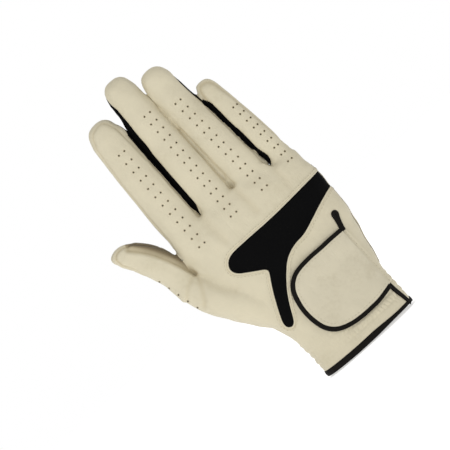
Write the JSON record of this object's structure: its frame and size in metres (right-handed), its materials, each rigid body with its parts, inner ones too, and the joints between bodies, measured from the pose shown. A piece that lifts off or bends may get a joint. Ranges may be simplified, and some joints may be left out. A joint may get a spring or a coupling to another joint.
{
  "type": "golf glove",
  "caption": "Leather sports glove for the right hand with stretch knuckle insert, knit finger sides, perforated backs and a hook-and-loop wrist tab.",
  "frame": {"origin": "centre of the wrist opening, in the plane where the cuff's leather ends", "axes": "+Z from the wrist opening to the fingertips, -X to the thumb, -Y out of the back of the hand, +Y out of the palm"},
  "size_m": [0.1459, 0.0474, 0.2463],
  "materials": {
    "cream_leather": "soft matt cabretta leather",
    "tab_leather": "smooth matt leather",
    "black_stretch_fabric": "matt stretch knit",
    "black_mesh_knit": "matt fine mesh knit",
    "black_binding": "matt woven tape",
    "elastic_webbing": "ribbed elastic",
    "loop_pile": "brushed loop pile",
    "hook_plastic": "moulded hooks"
  },
  "bodies": {
    "hand": {"back_panel": "cream_leather", "knuckle_insert": "black_stretch_fabric", "slit_binding": "black_binding", "palm_panel": "cream_leather", "thenar_panel": "cream_leather", "thumb_gusset": "cream_leather", "heel_patch": "cream_leather", "hem_binding": "black_binding", "wrist_elastic_palm": "elastic_webbing", "wrist_elastic_back": "elastic_webbing", "loop_patch": "loop_pile", "tab_root_strip": "tab_leather"},
    "tab": {"tab_leather": "tab_leather", "tab_binding": "black_binding", "hook_pad": "hook_plastic"},
    "index": {"index_finger_shell": "cream_leather", "index_fourchette": "black_mesh_knit"},
    "middle": {"middle_back": "cream_leather", "middle_palm": "cream_leather", "middle_fourchette_thumb_side": "black_mesh_knit", "middle_fourchette_little_side": "black_mesh_knit"},
    "ring": {"ring_back": "cream_leather", "ring_palm": "cream_leather", "ring_fourchette_thumb_side": "black_mesh_knit", "ring_fourchette_little_side": "black_mesh_knit"},
    "little": {"little_finger_shell": "cream_leather", "little_fourchette": "black_mesh_knit"},
    "thumb": {"thumb_back": "cream_leather", "thumb_palm": "cream_leather"}
  },
  "joints": [
    {"name": "index_knuckle", "type": "hinge", "parent": "hand", "child": "index", "pos_m": [-0.0432, 0.0116, 0.134], "axis": [-1, 0, 0], "range_deg": [0, 80]},
    {"name": "middle_knuckle", "type": "hinge", "parent": "hand", "child": "middle", "pos_m": [-0.0138, 0.0112, 0.134], "axis": [-1, 0, 0], "range_deg": [0, 80]},
    {"name": "ring_knuckle", "type": "hinge", "parent": "hand", "child": "ring", "pos_m": [0.0148, 0.01096, 0.134], "axis": [-1, 0, 0], "range_deg": [0, 80]},
    {"name": "little_knuckle", "type": "hinge", "parent": "hand", "child": "little", "pos_m": [0.0392, 0.00792, 0.125], "axis": [-1, 0, 0], "range_deg": [0, 80]},
    {"name": "thumb_knuckle", "type": "hinge", "parent": "hand", "child": "thumb", "pos_m": [-0.06743, 0.00877, 0.10796], "axis": [-0.9397, 0, -0.342], "range_deg": [0, 45]},
    {"name": "tab_hinge", "type": "hinge", "parent": "hand", "child": "tab", "pos_m": [0.0346, -0.01249, 0.041], "axis": [0, -0.0403, 0.9992], "range_deg": [0, 95]}
  ]
}
